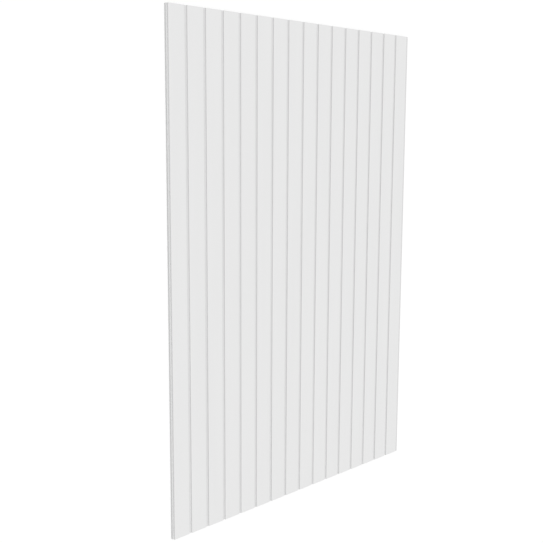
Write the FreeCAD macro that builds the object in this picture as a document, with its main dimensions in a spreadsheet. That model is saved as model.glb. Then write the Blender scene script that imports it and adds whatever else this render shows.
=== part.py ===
import FreeCAD, Part
import os
import Sketcher

# Beadboard panel: one sheet of fibreboard, grooved along its length into a row of
# boards. It lies on its back with its face up. X runs across the boards, Y along them
# and Z through the sheet. The origin is at the middle of the sheet, on its back face.
# The left edge has a lip and the right edge a bevelled tongue. The tongue laps the next
# sheet's lip and stops at its first board, so the joint looks like one more groove.

doc = FreeCAD.newDocument("beadboard_panel")

# Driving dimensions, in millimetres, and the number of boards
SIZES = [
    ("board_pitch", "50.8", "from one groove to the next"),
    ("board_count", "16", "boards across the sheet"),
    ("first_board", "50", "from the lip to the far wall of the first groove"),
    ("panel_length", "1219.2", "along the boards"),
    ("thickness", "10", "back face to board face"),
    ("groove_width", "7.5", "between the walls of a groove"),
    ("groove_depth", "2.6", "below the board face"),
    ("groove_corner", "0.5", "corner that the cutter leaves between wall and floor"),
    ("lip_width", "2.9", "lip of the left edge, out from the first board"),
    ("lip_depth", "4.7", "from the board face down to the lip"),
    ("lap_play", "0.4", "room round a lip under the tongue that laps it"),
    ("bevel_width", "7.2", "bevel on the tongue, across the sheet"),
    ("bevel_drop", "1.5", "bevel on the tongue, through the sheet"),
    ("arris", "0.3", "broken corners beside the grooves and on the lip"),
]
sheet = doc.addObject("Spreadsheet::Sheet", "Sizes")
for row, (name, value, meaning) in enumerate(SIZES, start=1):
    sheet.set(f"A{row}", meaning)
    sheet.set(f"B{row}", value)
    sheet.setAlias(f"B{row}", name)
doc.recompute()

# A groove counts as cut if its volume is within this share of the first one's
VOLUME_TOLERANCE = 0.001

# Places that more than one outline uses, as expressions of the sheet
LEFT = "-(Sizes.board_pitch * Sizes.board_count + Sizes.lip_width) / 2"
RIGHT = "(Sizes.board_pitch * Sizes.board_count + Sizes.lip_width) / 2"
LIP_WALL = f"{LEFT} + Sizes.lip_width"
FACE = "Sizes.thickness"
LIP = f"{FACE} - Sizes.lip_depth"
BACK = "0"


def origin_feature(body, role):
    """Return the plane or axis of the body's own origin that has this role."""
    return next(item for item in body.Origin.OriginFeatures if item.Role == role)


def draw_section(body, name, outline):
    """Sketch a closed outline across the boards. Each corner is two expressions:
    its place across the sheet and its height above the back face."""
    sketch = body.newObject("Sketcher::SketchObject", name)
    sketch.AttachmentSupport = [(origin_feature(body, "XZ_Plane"), "")]
    sketch.MapMode = "FlatFace"
    corners = [
        FreeCAD.Vector(sheet.evalExpression(across), sheet.evalExpression(height), 0)
        for across, height in outline
    ]
    count = len(corners)
    for index, corner in enumerate(corners):
        sketch.addGeometry(Part.LineSegment(corner, corners[(index + 1) % count]), False)
    for index in range(count):
        joint = Sketcher.Constraint("Coincident", index, 2, (index + 1) % count, 1)
        sketch.addConstraint(joint)
    for index, (across, height) in enumerate(outline):
        for kind, place, expression in (
            ("DistanceX", corners[index].x, across),
            ("DistanceY", corners[index].y, height),
        ):
            size = Sketcher.Constraint(kind, -1, 1, index, 1, place)
            number = sketch.addConstraint(size)
            sketch.setExpression(f"Constraints[{number}]", expression)
    return sketch


# The sheet's own outline: back face, tongue, board face and lip
panel = doc.addObject("PartDesign::Body", "Panel")
panel.Label = "beadboard_panel"
tongue_root = f"{RIGHT} - Sizes.lip_width - Sizes.lap_play"
tongue_underside = f"{LIP} + Sizes.lap_play"
sheet_outline = [
    (LEFT, BACK),
    (tongue_root, BACK),
    (tongue_root, tongue_underside),
    (RIGHT, tongue_underside),
    (RIGHT, f"{FACE} - Sizes.bevel_drop"),
    (f"{RIGHT} - Sizes.bevel_width", FACE),
    (f"{LIP_WALL} + Sizes.arris", FACE),
    (LIP_WALL, f"{FACE} - Sizes.arris"),
    (LIP_WALL, LIP),
    (f"{LEFT} + Sizes.arris", LIP),
    (LEFT, f"{LIP} - Sizes.arris"),
]
blank = panel.newObject("PartDesign::Pad", "Blank")
blank.Profile = draw_section(panel, "SheetSection", sheet_outline)
blank.SideType = "Symmetric"
blank.setExpression("Length", "Sizes.panel_length")
doc.recompute()
blank_volume = panel.Shape.Volume

# The first groove, along the far side of the first board, which is a little narrower
# than the pitch. The outline rises past the face by an arris so that the cutter leaves
# nothing behind.
far_wall = f"{LIP_WALL} + Sizes.first_board"
near_wall = f"{far_wall} - Sizes.groove_width"
floor = f"{FACE} - Sizes.groove_depth"
groove_outline = [
    (f"{near_wall} - 2 * Sizes.arris", f"{FACE} + Sizes.arris"),
    (near_wall, f"{FACE} - Sizes.arris"),
    (near_wall, f"{floor} + Sizes.groove_corner"),
    (f"{near_wall} + Sizes.groove_corner", floor),
    (f"{far_wall} - Sizes.groove_corner", floor),
    (far_wall, f"{floor} + Sizes.groove_corner"),
    (far_wall, f"{FACE} - Sizes.arris"),
    (f"{far_wall} + 2 * Sizes.arris", f"{FACE} + Sizes.arris"),
]
groove = panel.newObject("PartDesign::Pocket", "Groove")
groove.Profile = draw_section(panel, "GrooveSection", groove_outline)
groove.SideType = "Symmetric"
groove.setExpression("Length", "2 * Sizes.panel_length")
doc.recompute()
groove_volume = blank_volume - panel.Shape.Volume
if groove_volume <= 0:
    raise RuntimeError("the groove cut nothing")

# A groove between every two boards, one pitch apart
row_of_grooves = panel.newObject("PartDesign::LinearPattern", "RowOfGrooves")
row_of_grooves.Originals = [groove]
row_of_grooves.Direction = (origin_feature(panel, "X_Axis"), [""])
row_of_grooves.Mode = "Spacing"
row_of_grooves.setExpression("Offset", "Sizes.board_pitch")
row_of_grooves.setExpression("Occurrences", "Sizes.board_count - 1")
panel.Tip = row_of_grooves
doc.recompute()

# Every groove has to have cut as much as the first
grooves_cut = (blank_volume - panel.Shape.Volume) / groove_volume
grooves_wanted = sheet.board_count - 1
if abs(grooves_cut - grooves_wanted) > VOLUME_TOLERANCE:
    raise RuntimeError(f"{grooves_cut:.3f} grooves were cut, not {grooves_wanted}")

panel.Placement = FreeCAD.Placement()
doc.recompute()
for item in doc.Objects:
    if "Invalid" in item.State or "Error" in item.State:
        raise RuntimeError(f"{item.Label} failed: {item.State}")
if panel.Shape.isNull() or not panel.Shape.isValid():
    raise RuntimeError("the panel's shape isn't valid")

os.makedirs("parts", exist_ok=True)
panel.Shape.exportStep(os.path.join("parts", panel.Label + ".step"))
bounds = panel.Shape.BoundBox
print(f"{panel.Label}: {len(panel.Shape.Solids)} solid, {panel.Shape.Volume / 1e3:.1f} cm3,")
print(f"x {bounds.XMin:.2f} to {bounds.XMax:.2f}, y {bounds.YMin:.2f} to {bounds.YMax:.2f},")
print(f"z {bounds.ZMin:.2f} to {bounds.ZMax:.2f}, {len(panel.Shape.Faces)} faces")
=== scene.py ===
"""Beadboard panel: one sheet of fibreboard, grooved into a row of boards and painted
satin white. It lies on its back on a pale studio floor, face up."""

import math

import bpy
from mathutils import Matrix, Vector


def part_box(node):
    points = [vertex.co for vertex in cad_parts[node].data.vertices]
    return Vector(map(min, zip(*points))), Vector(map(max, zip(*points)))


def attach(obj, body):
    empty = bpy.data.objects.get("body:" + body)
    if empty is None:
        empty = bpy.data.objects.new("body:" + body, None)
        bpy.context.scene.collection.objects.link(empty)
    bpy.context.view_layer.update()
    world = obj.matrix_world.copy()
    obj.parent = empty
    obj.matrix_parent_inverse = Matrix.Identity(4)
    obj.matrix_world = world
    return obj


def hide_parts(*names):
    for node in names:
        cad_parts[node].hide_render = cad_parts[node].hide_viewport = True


bl_info = {
    "name": "Beadboard panel",
    "version": (1, 0, 0),
    "blender": (4, 5, 0),
    "location": "View3D > Sidebar > Beadboard",
    "description": "Mills and paints a beadboard panel and sets it in a white studio",
    "category": "Object",
}

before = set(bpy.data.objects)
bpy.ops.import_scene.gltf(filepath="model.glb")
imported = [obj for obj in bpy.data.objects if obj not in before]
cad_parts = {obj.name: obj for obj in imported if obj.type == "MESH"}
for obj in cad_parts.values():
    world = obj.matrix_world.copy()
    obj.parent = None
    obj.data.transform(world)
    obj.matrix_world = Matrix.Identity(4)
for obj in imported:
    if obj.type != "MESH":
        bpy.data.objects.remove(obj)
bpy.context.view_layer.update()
SHEET_LOW, SHEET_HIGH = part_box("beadboard_panel")
SHEET_SIZE = SHEET_HIGH - SHEET_LOW

MM = 0.001

# The cutters' length as a share of the sheet's, so that they run out past both ends
CUTTER_SHARE = 1.1
# Facets of each corner in a groove's floor
GROOVE_CORNER_FACETS = 4
# Edges that turn by more than the first angle are creased in the shading, and by more
# than the second rounded
CREASE_ANGLE = math.radians(8)
ROUNDING_ANGLE = math.radians(40)

# The coat changes from the boards' to the cuts' between these depths below the face
COAT_CHANGE_START = 0.1 * MM
COAT_CHANGE_END = 0.6 * MM
# Spray bands, ten times as long as they are wide, and how far they shift the colour
BAND_WIDTH = 40 * MM
BAND_SCALE_ALONG = 0.1
BAND_SHIFT = 0.015
# Orange peel. Real bumps are 2 mm across. These are coarser, to show.
PEEL_WIDTH = 5 * MM
# Raised fibres, three times as long in line with the cutters' travel. Real ones are
# 0.1 mm across. These are coarser, to show close up.
FIBRE_WIDTH = 0.5 * MM
FIBRE_SCALE_ALONG = 0.33
RELIEF_HEIGHT = 0.05 * MM
# Satin on the boards and near to matt in the cuts, with the index of clear acrylic
FACE_ROUGHNESS = 0.48
CUT_ROUGHNESS = 0.62
ACRYLIC_IOR = 1.49

# Sockets of a mix node, which has inputs of the same name for every kind of value
MIX_FACTOR = 0
MIX_FLOAT_A, MIX_FLOAT_B = 2, 3
MIX_COLOUR_A, MIX_COLOUR_B = 6, 7
MIX_COLOUR_RESULT = 2

# The floor reaches far past the sheet on all sides, and lies just clear of its back
FLOOR_REACH = 6.0
FLOOR_CLEARANCE = 0.2 * MM
FLOOR_GLOW = 0.52
# A broad lamp, overhead and a little towards the sheet's top end
LAMP_SPREAD = math.radians(40)
TOWARDS_LAMP = Vector((0.0, 0.34, 0.94))
# The camera's place and two of its axes, fitted to the photograph by the sheet's edges
# and grooves
CAMERA_PLACE = Vector((-1.391751, 0.316960, 1.447921))
CAMERA_RIGHT = Vector((0.745676, 0.004501, 0.666293))
CAMERA_BACK = Vector((-0.660768, 0.133646, 0.738596))
CAMERA_SHIFT = -0.045205
CAMERA_CLIP_START = 0.05


def linear(hex_colour):
    """The linear red, green, blue and alpha of an sRGB hex colour, for a socket."""
    channels = [int(hex_colour[i : i + 2], 16) / 255 for i in (1, 3, 5)]
    return [
        c / 12.92 if c <= 0.04045 else ((c + 0.055) / 1.055) ** 2.4 for c in channels
    ] + [1.0]


def add_node(tree, kind, inputs=None, **settings):
    """Add a node to a tree. Each input is a plain value, the socket that feeds it, or a
    node, whose first output feeds it."""
    node = tree.nodes.new(kind)
    for name, value in settings.items():
        setattr(node, name, value)
    for name, value in (inputs or {}).items():
        if isinstance(value, bpy.types.Node):
            value = value.outputs[0]
        if isinstance(value, bpy.types.NodeSocket):
            tree.links.new(value, node.inputs[name])
        else:
            node.inputs[name].default_value = value
    return node


class BeadboardSheetSettings(bpy.types.PropertyGroup):
    """Sizes of the milled sheet, and the colours of its coat. The grooves' and the
    bevel's darker colours are painted shade.
    """

    board_pitch: bpy.props.FloatProperty(
        name="Board pitch",
        description="From one groove to the next",
        default=50.8 * MM,
        unit="LENGTH",
    )
    board_count: bpy.props.IntProperty(
        name="Boards",
        description="Boards across the sheet",
        default=16,
        min=2,
    )
    first_board: bpy.props.FloatProperty(
        name="First board",
        description="From the lip to the far wall of the first groove",
        default=50.0 * MM,
        unit="LENGTH",
    )
    sheet_length: bpy.props.FloatProperty(
        name="Length",
        description="Along the boards",
        default=SHEET_SIZE.y,
        unit="LENGTH",
    )
    thickness: bpy.props.FloatProperty(
        name="Thickness",
        description="From the back face to the board face",
        default=SHEET_SIZE.z,
        unit="LENGTH",
    )
    groove_width: bpy.props.FloatProperty(
        name="Groove width",
        description="Between the walls of a groove",
        default=7.5 * MM,
        unit="LENGTH",
    )
    groove_depth: bpy.props.FloatProperty(
        name="Groove depth",
        description="Below the board face",
        default=2.6 * MM,
        unit="LENGTH",
    )
    groove_corner: bpy.props.FloatProperty(
        name="Groove corner",
        description="Radius where a groove's walls meet its floor",
        default=0.5 * MM,
        unit="LENGTH",
    )
    lip_width: bpy.props.FloatProperty(
        name="Lip width",
        description="Lip of the left edge, out from the first board",
        default=2.9 * MM,
        unit="LENGTH",
    )
    lip_depth: bpy.props.FloatProperty(
        name="Lip depth",
        description="From the board face down to the lip",
        default=4.7 * MM,
        unit="LENGTH",
    )
    lap_play: bpy.props.FloatProperty(
        name="Lap play",
        description="Room round a lip under the tongue that laps it",
        default=0.4 * MM,
        unit="LENGTH",
    )
    bevel_width: bpy.props.FloatProperty(
        name="Bevel width",
        description="Bevel on the tongue, across the sheet",
        default=7.2 * MM,
        unit="LENGTH",
    )
    bevel_drop: bpy.props.FloatProperty(
        name="Bevel drop",
        description="Bevel on the tongue, through the sheet",
        default=1.5 * MM,
        unit="LENGTH",
    )
    arris: bpy.props.FloatProperty(
        name="Arris",
        description="Rounding of the sanded corners",
        default=0.3 * MM,
        unit="LENGTH",
    )
    paint_colour: bpy.props.FloatVectorProperty(
        name="Paint",
        description="Colour of the white paint on the board faces",
        default=linear("#E8E8E8"),
        subtype="COLOR",
        size=4,
        min=0,
        max=1,
    )
    # A thinner, greyer coat on the sawn ends and the back, and in the grooves the same
    # darker colour as painted shade
    end_coat_and_groove_shade_colour: bpy.props.FloatVectorProperty(
        name="Paint in grooves",
        description="Colour of the thinner coat in the grooves, on the ends and behind",
        default=linear("#E1E1E1"),
        subtype="COLOR",
        size=4,
        min=0,
        max=1,
    )
    # Painted shade: the bevel's coat is darkened to stand for the shade that falls on
    # it
    bevel_shade_colour: bpy.props.FloatVectorProperty(
        name="Paint on the bevel",
        description="Colour of the coat on the bevel, where it drew thin",
        default=linear("#DBDBDB"),
        subtype="COLOR",
        size=4,
        min=0,
        max=1,
    )


class BeadboardStageSettings(bpy.types.PropertyGroup):
    """The floor, the light and the lens."""

    floor_colour: bpy.props.FloatVectorProperty(
        name="Floor",
        description="Colour of the studio floor",
        default=linear("#BFBFBF"),
        subtype="COLOR",
        size=4,
        min=0,
        max=1,
    )
    sky_strength: bpy.props.FloatProperty(
        name="Sky",
        description="Soft light from all round",
        default=0.84,
        min=0,
    )
    lamp_strength: bpy.props.FloatProperty(
        name="Lamp",
        description="Soft light that falls on the face",
        default=0.5,
        min=0,
    )
    focal_length: bpy.props.FloatProperty(
        name="Focal length",
        description="Lens of the camera",
        default=52.03,
        unit="CAMERA",
    )


def socket_of(tree, name):
    """The identifier of a node group's input, which a modifier is set by."""
    return next(
        item.identifier
        for item in tree.interface.items_tree
        if item.name == name and item.in_out == "INPUT"
    )


def sheet_tree():
    """Geometry nodes that mill the sheet: its outline drawn out along the boards, less
    a groove between every two boards. Sections are drawn with x across the sheet and y
    down from the board face."""
    tree = bpy.data.node_groups.new("Milled sheet", "GeometryNodeTree")
    tree.is_modifier = True
    for name, kind in (
        ("Sheet Width", "NodeSocketFloat"),
        ("Sheet Length", "NodeSocketFloat"),
        ("Thickness", "NodeSocketFloat"),
        ("Board Pitch", "NodeSocketFloat"),
        ("Groove Count", "NodeSocketInt"),
        ("First Groove", "NodeSocketFloat"),
        ("Groove Width", "NodeSocketFloat"),
        ("Groove Depth", "NodeSocketFloat"),
        ("Groove Corner", "NodeSocketFloat"),
        ("Lip Width", "NodeSocketFloat"),
        ("Lip Depth", "NodeSocketFloat"),
        ("Lap Play", "NodeSocketFloat"),
        ("Bevel Width", "NodeSocketFloat"),
        ("Bevel Drop", "NodeSocketFloat"),
        ("Paint", "NodeSocketMaterial"),
    ):
        tree.interface.new_socket(name, in_out="INPUT", socket_type=kind)
    tree.interface.new_socket(
        "Geometry", in_out="OUTPUT", socket_type="NodeSocketGeometry"
    )

    # Every place that the sections need, worked out from the sizes and earlier places
    place = dict(add_node(tree, "NodeGroupInput").outputs.items())
    for name, operation, first, second in (
        ("Left", "MULTIPLY", "Sheet Width", -0.5),
        ("Right", "MULTIPLY", "Sheet Width", 0.5),
        ("Lip Wall", "ADD", "Left", "Lip Width"),
        ("Bevel Start", "SUBTRACT", "Right", "Bevel Width"),
        ("Lap", "ADD", "Lip Width", "Lap Play"),
        ("Tongue Root", "SUBTRACT", "Right", "Lap"),
        ("Tongue Underside", "SUBTRACT", "Lip Depth", "Lap Play"),
        ("Sheet Start", "MULTIPLY", "Sheet Length", -0.5),
        ("Sheet End", "MULTIPLY", "Sheet Length", 0.5),
        ("Cutter Start", "MULTIPLY", "Sheet Length", -0.5 * CUTTER_SHARE),
        ("Cutter End", "MULTIPLY", "Sheet Length", 0.5 * CUTTER_SHARE),
        ("Cutter Height", "MULTIPLY", "Groove Depth", 2.0),
    ):
        operands = {0: place[first], 1: place.get(second, second)}
        place[name] = add_node(tree, "ShaderNodeMath", operands, operation=operation)

    # Outline of the sheet, corner by corner from the lip over the face to the tongue
    corners = (
        (place["Left"], place["Lip Depth"]),
        (place["Lip Wall"], place["Lip Depth"]),
        (place["Lip Wall"], 0.0),
        (place["Bevel Start"], 0.0),
        (place["Right"], place["Bevel Drop"]),
        (place["Right"], place["Tongue Underside"]),
        (place["Tongue Root"], place["Tongue Underside"]),
        (place["Tongue Root"], place["Thickness"]),
        (place["Left"], place["Thickness"]),
    )
    corner = add_node(
        tree,
        "GeometryNodeIndexSwitch",
        {"Index": add_node(tree, "GeometryNodeInputIndex")},
        data_type="VECTOR",
    )
    while len(corner.index_switch_items) < len(corners):
        corner.index_switch_items.new()
    # The switch's first input is its index, and its corners follow
    for number, (across, down) in enumerate(corners, start=1):
        point = add_node(tree, "ShaderNodeCombineXYZ", {"X": across, "Y": down})
        tree.links.new(point.outputs[0], corner.inputs[number])
    points = add_node(tree, "GeometryNodeMeshLine", {"Count": len(corners)})
    placed = add_node(
        tree, "GeometryNodeSetPosition", {"Geometry": points, "Position": corner}
    )
    open_outline = add_node(tree, "GeometryNodeMeshToCurve", {"Mesh": placed})
    outline = add_node(
        tree,
        "GeometryNodeSetSplineCyclic",
        {"Geometry": open_outline, "Cyclic": True},
    )

    # Section of the cutter: as far above the face as below it, with rounded corners
    cutter_outline = add_node(
        tree,
        "GeometryNodeCurvePrimitiveQuadrilateral",
        {"Width": place["Groove Width"], "Height": place["Cutter Height"]},
        mode="RECTANGLE",
    )
    cutter_section = add_node(
        tree,
        "GeometryNodeFilletCurve",
        {
            "Curve": cutter_outline,
            "Count": GROOVE_CORNER_FACETS,
            "Radius": place["Groove Corner"],
        },
        mode="POLY",
    )

    # Both sections are drawn out along the boards, with their zero depth at the face
    bars = []
    for section, start, end in (
        (outline, place["Sheet Start"], place["Sheet End"]),
        (cutter_section, place["Cutter Start"], place["Cutter End"]),
    ):
        line = add_node(
            tree,
            "GeometryNodeCurvePrimitiveLine",
            {
                name: add_node(
                    tree, "ShaderNodeCombineXYZ", {"Y": along, "Z": place["Thickness"]}
                )
                for name, along in (("Start", start), ("End", end))
            },
        )
        level = add_node(
            tree, "GeometryNodeSetCurveNormal", {"Curve": line}, mode="Z_UP"
        )
        bars.append(
            add_node(
                tree,
                "GeometryNodeCurveToMesh",
                {"Curve": level, "Profile Curve": section, "Fill Caps": True},
            )
        )
    blank, cutter = bars

    # One cutter in the middle of each groove, a pitch apart
    pitch_lines = add_node(
        tree,
        "GeometryNodeMeshLine",
        {
            "Count": place["Groove Count"],
            "Start Location": add_node(
                tree, "ShaderNodeCombineXYZ", {"X": place["First Groove"]}
            ),
            "Offset": add_node(
                tree, "ShaderNodeCombineXYZ", {"X": place["Board Pitch"]}
            ),
        },
    )
    cutters = add_node(
        tree,
        "GeometryNodeInstanceOnPoints",
        {"Points": pitch_lines, "Instance": cutter},
    )
    row_of_cutters = add_node(
        tree, "GeometryNodeRealizeInstances", {"Geometry": cutters}
    )
    milled = add_node(
        tree,
        "GeometryNodeMeshBoolean",
        {"Mesh 1": blank, "Mesh 2": row_of_cutters},
        operation="DIFFERENCE",
        solver="EXACT",
    )
    solid = add_node(tree, "GeometryNodeRealizeInstances", {"Geometry": milled})
    painted = add_node(
        tree,
        "GeometryNodeSetMaterial",
        {"Geometry": solid, "Material": place["Paint"]},
    )
    add_node(tree, "NodeGroupOutput", {"Geometry": painted})
    return tree


def sheet_width(sheet):
    """The boards, and the lip that the next sheet's tongue laps."""
    return sheet.board_count * sheet.board_pitch + sheet.lip_width


def satin_paint(sheet):
    """Satin white acrylic, sprayed on fibreboard on the factory's line and levelled by
    its own flow. The boards shine softly, with a faint orange peel. Where the cutters
    opened the fibres, the coat sank in and is duller and grainier, and on the ends and
    the back greyer. The grooves' greyer colour and the bevel's darker one are painted
    shade."""
    material = bpy.data.materials.new("satin_white_acrylic_on_fibreboard")
    material.use_nodes = True
    tree = material.node_tree
    shader = tree.nodes["Principled BSDF"]
    place = add_node(tree, "ShaderNodeTexCoord").outputs["Object"]
    x, y, z = add_node(tree, "ShaderNodeSeparateXYZ", {"Vector": place}).outputs

    # 0 on the board faces and 1 on all that lies deeper
    below_face = add_node(
        tree,
        "ShaderNodeMapRange",
        {
            "Value": z,
            "From Min": sheet.thickness - COAT_CHANGE_START,
            "From Max": sheet.thickness - COAT_CHANGE_END,
        },
    )
    # The lip and its side have the boards' colour. The back and the sawn ends have a
    # thinner, greyer coat, and the grooves have the same greyer colour as painted
    # shade. The bevel is darkest, as painted shade.
    half_width = sheet_width(sheet) / 2
    past_lip = add_node(
        tree,
        "ShaderNodeMath",
        {0: x, 1: sheet.lip_width - half_width},
        operation="GREATER_THAN",
    )
    past_bevel_start = add_node(
        tree,
        "ShaderNodeMath",
        {0: x, 1: half_width - sheet.bevel_width},
        operation="GREATER_THAN",
    )
    from_middle = add_node(tree, "ShaderNodeMath", {0: y}, operation="ABSOLUTE")
    between_ends = add_node(
        tree,
        "ShaderNodeMath",
        {0: from_middle, 1: sheet.sheet_length / 2 - sheet.arris},
        operation="LESS_THAN",
    )
    on_end = add_node(
        tree, "ShaderNodeMath", {0: 1.0, 1: between_ends}, operation="SUBTRACT"
    )
    in_groove = add_node(
        tree, "ShaderNodeMath", {0: below_face, 1: past_lip}, operation="MULTIPLY"
    )
    end_coat_or_groove_shade = add_node(
        tree, "ShaderNodeMath", {0: in_groove, 1: on_end}, operation="MAXIMUM"
    )
    bevel_shade_area = add_node(
        tree,
        "ShaderNodeMath",
        {0: past_bevel_start, 1: between_ends},
        operation="MULTIPLY",
    )
    # Greyer coat: a thinner coat on the ends and the back, and painted shade in the
    # grooves
    coat_with_groove_shade = add_node(
        tree,
        "ShaderNodeMix",
        {
            MIX_FACTOR: end_coat_or_groove_shade,
            MIX_COLOUR_A: sheet.paint_colour[:],
            MIX_COLOUR_B: sheet.end_coat_and_groove_shade_colour[:],
        },
        data_type="RGBA",
    ).outputs[MIX_COLOUR_RESULT]
    # The bevel's darker colour is painted shade
    coat = add_node(
        tree,
        "ShaderNodeMix",
        {
            MIX_FACTOR: bevel_shade_area,
            MIX_COLOUR_A: coat_with_groove_shade,
            MIX_COLOUR_B: sheet.bevel_shade_colour[:],
        },
        data_type="RGBA",
    ).outputs[MIX_COLOUR_RESULT]

    # The spray heads left faint bands along the boards
    along_boards = add_node(
        tree,
        "ShaderNodeMapping",
        {"Vector": place, "Scale": (1.0, BAND_SCALE_ALONG, 1.0)},
    )
    bands = add_node(
        tree,
        "ShaderNodeTexNoise",
        {"Vector": along_boards, "Scale": 1 / BAND_WIDTH, "Detail": 2.0},
    )
    shade = add_node(
        tree,
        "ShaderNodeMapRange",
        {"Value": bands, "To Min": 1 - BAND_SHIFT, "To Max": 1 + BAND_SHIFT},
    )
    colour = add_node(
        tree, "ShaderNodeVectorMath", {0: coat, "Scale": shade}, operation="SCALE"
    )
    tree.links.new(colour.outputs[0], shader.inputs["Base Color"])

    # Orange peel on the boards, and raised fibres in the cuts
    peel = add_node(
        tree,
        "ShaderNodeTexNoise",
        {"Vector": place, "Scale": 1 / PEEL_WIDTH, "Detail": 1.5, "Roughness": 0.4},
    )
    travel = add_node(
        tree,
        "ShaderNodeMapping",
        {"Vector": place, "Scale": (1.0, FIBRE_SCALE_ALONG, 1.0)},
    )
    fibres = add_node(
        tree,
        "ShaderNodeTexNoise",
        {"Vector": travel, "Scale": 1 / FIBRE_WIDTH, "Detail": 3.0, "Roughness": 0.6},
    )
    grain = add_node(
        tree,
        "ShaderNodeMix",
        {MIX_FACTOR: below_face, MIX_FLOAT_A: peel, MIX_FLOAT_B: fibres},
        data_type="FLOAT",
    )
    relief = add_node(
        tree,
        "ShaderNodeBump",
        {"Height": grain, "Strength": 0.5, "Distance": RELIEF_HEIGHT},
    )
    tree.links.new(relief.outputs[0], shader.inputs["Normal"])

    dullness = add_node(
        tree,
        "ShaderNodeMapRange",
        {"Value": below_face, "To Min": FACE_ROUGHNESS, "To Max": CUT_ROUGHNESS},
    )
    tree.links.new(dullness.outputs[0], shader.inputs["Roughness"])
    shader.inputs["IOR"].default_value = ACRYLIC_IOR
    return material


class BEADBOARD_OT_sheet(bpy.types.Operator):
    """Mill the beadboard sheet, round its sanded corners and paint it"""

    bl_idname = "beadboard.sheet"
    bl_label = "Beadboard sheet"

    def execute(self, context):
        sheet = context.scene.beadboard_sheet
        width = sheet_width(sheet)
        far_wall = sheet.lip_width - width / 2 + sheet.first_board
        sizes = {
            "Sheet Width": width,
            "Sheet Length": sheet.sheet_length,
            "Thickness": sheet.thickness,
            "Board Pitch": sheet.board_pitch,
            "Groove Count": sheet.board_count - 1,
            "First Groove": far_wall - sheet.groove_width / 2,
            "Groove Width": sheet.groove_width,
            "Groove Depth": sheet.groove_depth,
            "Groove Corner": sheet.groove_corner,
            "Lip Width": sheet.lip_width,
            "Lip Depth": sheet.lip_depth,
            "Lap Play": sheet.lap_play,
            "Bevel Width": sheet.bevel_width,
            "Bevel Drop": sheet.bevel_drop,
            "Paint": satin_paint(sheet),
        }
        panel = bpy.data.objects.new("panel", bpy.data.meshes.new("panel"))
        context.scene.collection.objects.link(panel)
        tree = sheet_tree()
        milling = panel.modifiers.new("Milling", "NODES")
        milling.node_group = tree
        for name, value in sizes.items():
            milling[socket_of(tree, name)] = value
        graph = context.evaluated_depsgraph_get()
        mesh = bpy.data.meshes.new_from_object(panel.evaluated_get(graph))
        mesh.name = "panel"
        panel.modifiers.remove(milling)
        panel.data = mesh
        # A groove has two walls and a floor, and each board a face
        if len(mesh.polygons) < 4 * sheet.board_count:
            raise RuntimeError("the grooves weren't milled")

        # Smooth shading for the rounded corners, and a crease at every other edge, such
        # as the bevel's, which is too shallow to round
        for polygon in mesh.polygons:
            polygon.use_smooth = True
        mesh.set_sharp_from_angle(angle=CREASE_ANGLE)
        rounding = panel.modifiers.new("Sanded corners", "BEVEL")
        rounding.width = sheet.arris
        rounding.segments = 3
        rounding.limit_method = "ANGLE"
        rounding.angle_limit = ROUNDING_ANGLE
        rounding.harden_normals = True

        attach(panel, "root")
        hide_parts("beadboard_panel")
        return {"FINISHED"}


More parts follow.
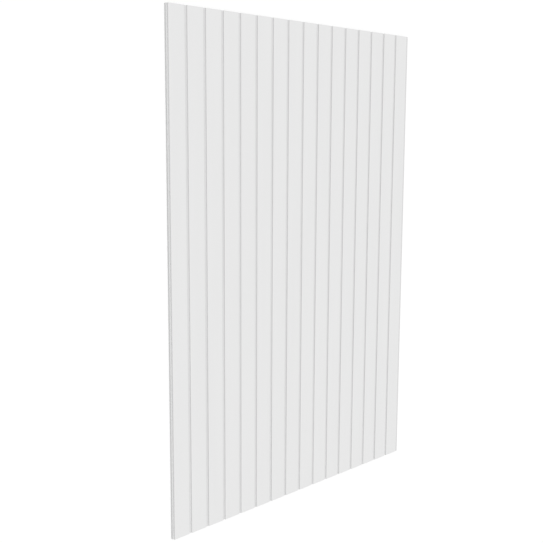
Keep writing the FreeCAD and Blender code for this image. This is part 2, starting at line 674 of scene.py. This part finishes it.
class BEADBOARD_OT_stage(bpy.types.Operator):
    """Lay the pale floor, light the sheet softly and place the camera"""

    bl_idname = "beadboard.stage"
    bl_label = "White studio"

    def execute(self, context):
        scene = context.scene
        stage = scene.beadboard_stage
        self.lay_floor(scene, stage)
        self.light(scene, stage)
        self.place_camera(scene, stage)
        scene.view_settings.view_transform = "Standard"
        return {"FINISHED"}

    def seen(self, tree):
        """1 for rays that show the studio: to the eye, in gloss and through glass."""
        rays = add_node(tree, "ShaderNodeLightPath").outputs
        in_view = add_node(
            tree,
            "ShaderNodeMath",
            {0: rays["Is Camera Ray"], 1: rays["Is Glossy Ray"]},
            operation="MAXIMUM",
        )
        return add_node(
            tree,
            "ShaderNodeMath",
            {0: in_view, 1: rays["Is Transmission Ray"]},
            operation="MAXIMUM",
        )

    def lay_floor(self, scene, stage):
        """Matt, pale grey backdrop paper, so that it throws little light back up at the
        sheet's edges. A little light of its own lifts it to white where it is seen, and
        the sheet's shadow stays on it."""
        corners = [
            (x * FLOOR_REACH, y * FLOOR_REACH, -FLOOR_CLEARANCE)
            for x, y in ((-1, -1), (1, -1), (1, 1), (-1, 1))
        ]
        mesh = bpy.data.meshes.new("floor")
        mesh.from_pydata(corners, [], [(0, 1, 2, 3)])
        floor = bpy.data.objects.new("floor", mesh)
        scene.collection.objects.link(floor)
        material = bpy.data.materials.new("pale_grey_backdrop_paper")
        material.use_nodes = True
        tree = material.node_tree
        tree.nodes.clear()
        lift = add_node(
            tree,
            "ShaderNodeMath",
            {0: self.seen(tree), 1: FLOOR_GLOW},
            operation="MULTIPLY",
        )
        paper = add_node(
            tree, "ShaderNodeBsdfDiffuse", {"Color": stage.floor_colour[:]}
        )
        glow = add_node(tree, "ShaderNodeEmission", {"Strength": lift})
        both = add_node(tree, "ShaderNodeAddShader", {0: paper, 1: glow})
        add_node(tree, "ShaderNodeOutputMaterial", {"Surface": both})
        mesh.materials.append(material)

    def light(self, scene, stage):
        """An even world, white where it shows and dimmer where it lights the sheet, and
        one soft lamp."""
        world = bpy.data.worlds.new("white_studio")
        world.use_nodes = True
        tree = world.node_tree
        tree.nodes.clear()
        strength = add_node(
            tree,
            "ShaderNodeMapRange",
            {"Value": self.seen(tree), "To Min": stage.sky_strength, "To Max": 1.0},
        )
        sky = add_node(
            tree,
            "ShaderNodeBackground",
            {"Color": (1, 1, 1, 1), "Strength": strength},
        )
        add_node(tree, "ShaderNodeOutputWorld", {"Surface": sky})
        scene.world = world

        lamp = bpy.data.lights.new("soft_lamp", "SUN")
        lamp.energy = stage.lamp_strength
        lamp.angle = LAMP_SPREAD
        holder = bpy.data.objects.new("soft_lamp", lamp)
        holder.rotation_mode = "QUATERNION"
        holder.rotation_quaternion = TOWARDS_LAMP.to_track_quat("Z", "Y")
        scene.collection.objects.link(holder)

    def place_camera(self, scene, stage):
        """The camera looks down on the sheet from beyond its left edge, turned so that
        the boards stand upright in the picture."""
        up = CAMERA_BACK.cross(CAMERA_RIGHT)
        turn = Matrix((CAMERA_RIGHT, up, CAMERA_BACK)).transposed()
        lens = bpy.data.cameras.new("camera")
        lens.lens = stage.focal_length
        lens.sensor_width = 36
        lens.shift_y = CAMERA_SHIFT
        lens.clip_start = CAMERA_CLIP_START
        camera = bpy.data.objects.new("camera", lens)
        camera.matrix_world = Matrix.Translation(CAMERA_PLACE) @ turn.to_4x4()
        scene.collection.objects.link(camera)
        scene.camera = camera


class BEADBOARD_PT_sidebar(bpy.types.Panel):
    """Lists the sheet and the studio in the 3D view's sidebar"""

    bl_idname = "BEADBOARD_PT_sidebar"
    bl_label = "Beadboard"
    bl_space_type = "VIEW_3D"
    bl_region_type = "UI"
    bl_category = "Beadboard"

    def draw(self, context):
        for settings, operator in (
            (context.scene.beadboard_sheet, BEADBOARD_OT_sheet),
            (context.scene.beadboard_stage, BEADBOARD_OT_stage),
        ):
            column = self.layout.column()
            for name in settings.__annotations__:
                column.prop(settings, name)
            column.operator(operator.bl_idname)


CLASSES = (
    BeadboardSheetSettings,
    BeadboardStageSettings,
    BEADBOARD_OT_sheet,
    BEADBOARD_OT_stage,
    BEADBOARD_PT_sidebar,
)


def register():
    for cls in CLASSES:
        bpy.utils.register_class(cls)
    bpy.types.Scene.beadboard_sheet = bpy.props.PointerProperty(
        type=BeadboardSheetSettings
    )
    bpy.types.Scene.beadboard_stage = bpy.props.PointerProperty(
        type=BeadboardStageSettings
    )


def unregister():
    del bpy.types.Scene.beadboard_stage
    del bpy.types.Scene.beadboard_sheet
    for cls in reversed(CLASSES):
        bpy.utils.unregister_class(cls)


def main():
    register()
    bpy.ops.beadboard.sheet()
    bpy.ops.beadboard.stage()


if __name__ == "__main__":
    main()
